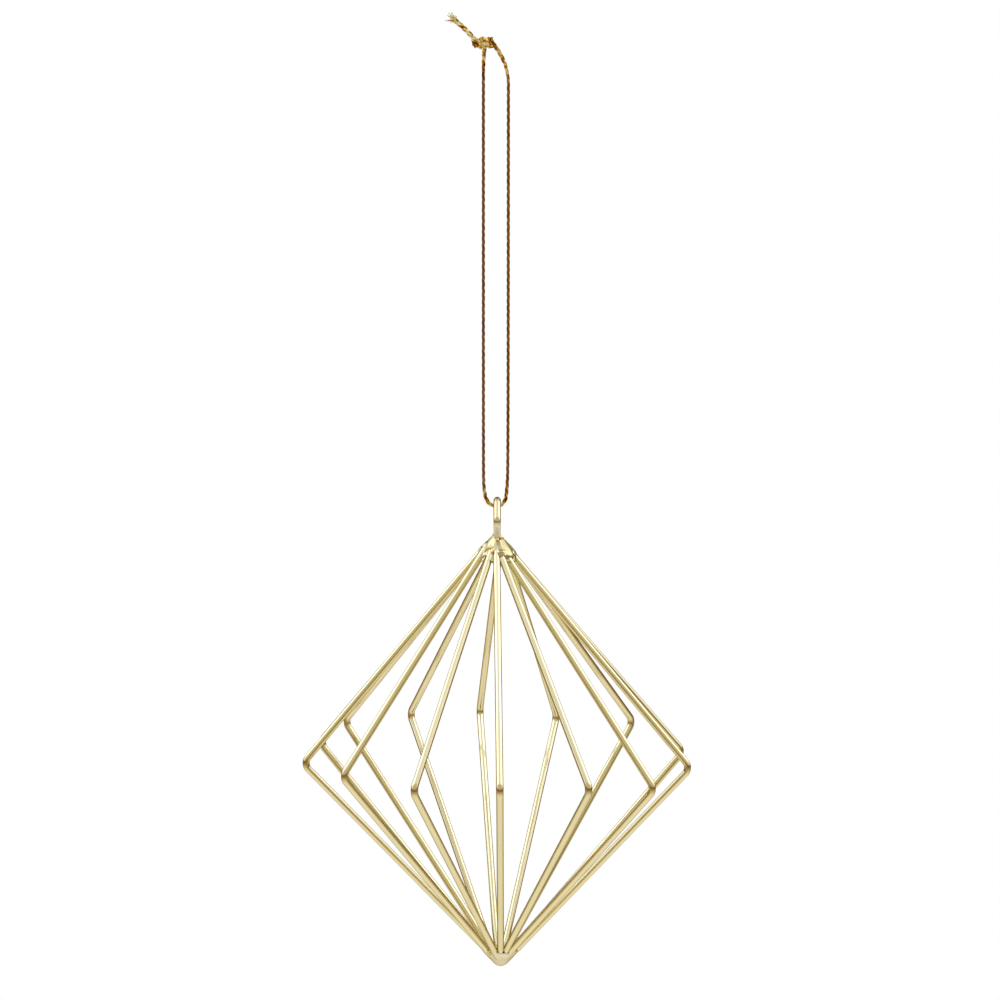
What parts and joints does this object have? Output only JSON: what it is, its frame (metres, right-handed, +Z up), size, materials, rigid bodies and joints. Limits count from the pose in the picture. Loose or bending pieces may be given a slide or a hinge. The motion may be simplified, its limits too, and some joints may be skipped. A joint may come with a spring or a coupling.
{
  "type": "hanging wire ornament",
  "caption": "Diamond-shaped cage of bent champagne-gold wires with a wire eye on top, hung from a knotted loop of twisted metallic cord.",
  "frame": {"origin": "inside top of the cord loop, where a hook or twig takes it", "axes": "+Z up along the hanging cord, -Y towards the viewer and +X to the viewer's right; the eye's loop lies in the YZ plane and the cord's two legs in the XZ plane"},
  "size_m": [0.0999, 0.1026, 0.2473],
  "materials": {
    "wire": "satin champagne gold",
    "braze": "rough cream gold braze",
    "cord": "twisted metallic bronze thread"
  },
  "bodies": {
    "cord": {"hanging_cord": "cord", "cord_knot": "cord", "cord_tail_upper": "cord", "cord_tail_lower": "cord"},
    "cage": {"rib_01": "wire", "rib_02": "wire", "rib_03": "wire", "rib_04": "wire", "rib_05": "wire", "rib_06": "wire", "rib_07": "wire", "rib_08": "wire", "rib_09": "wire", "rib_10": "wire", "rib_11": "wire", "rib_12": "wire", "rib_13": "wire", "rib_14": "wire", "top_braze": "braze", "bottom_braze": "braze", "hanging_eye": "wire"}
  },
  "joints": [
    {"name": "cage_swing", "type": "hinge", "parent": "cord", "child": "cage", "pos_m": [0, 0, -0.1164], "axis": [1, 0, 0], "range_deg": [-140, 140]}
  ]
}
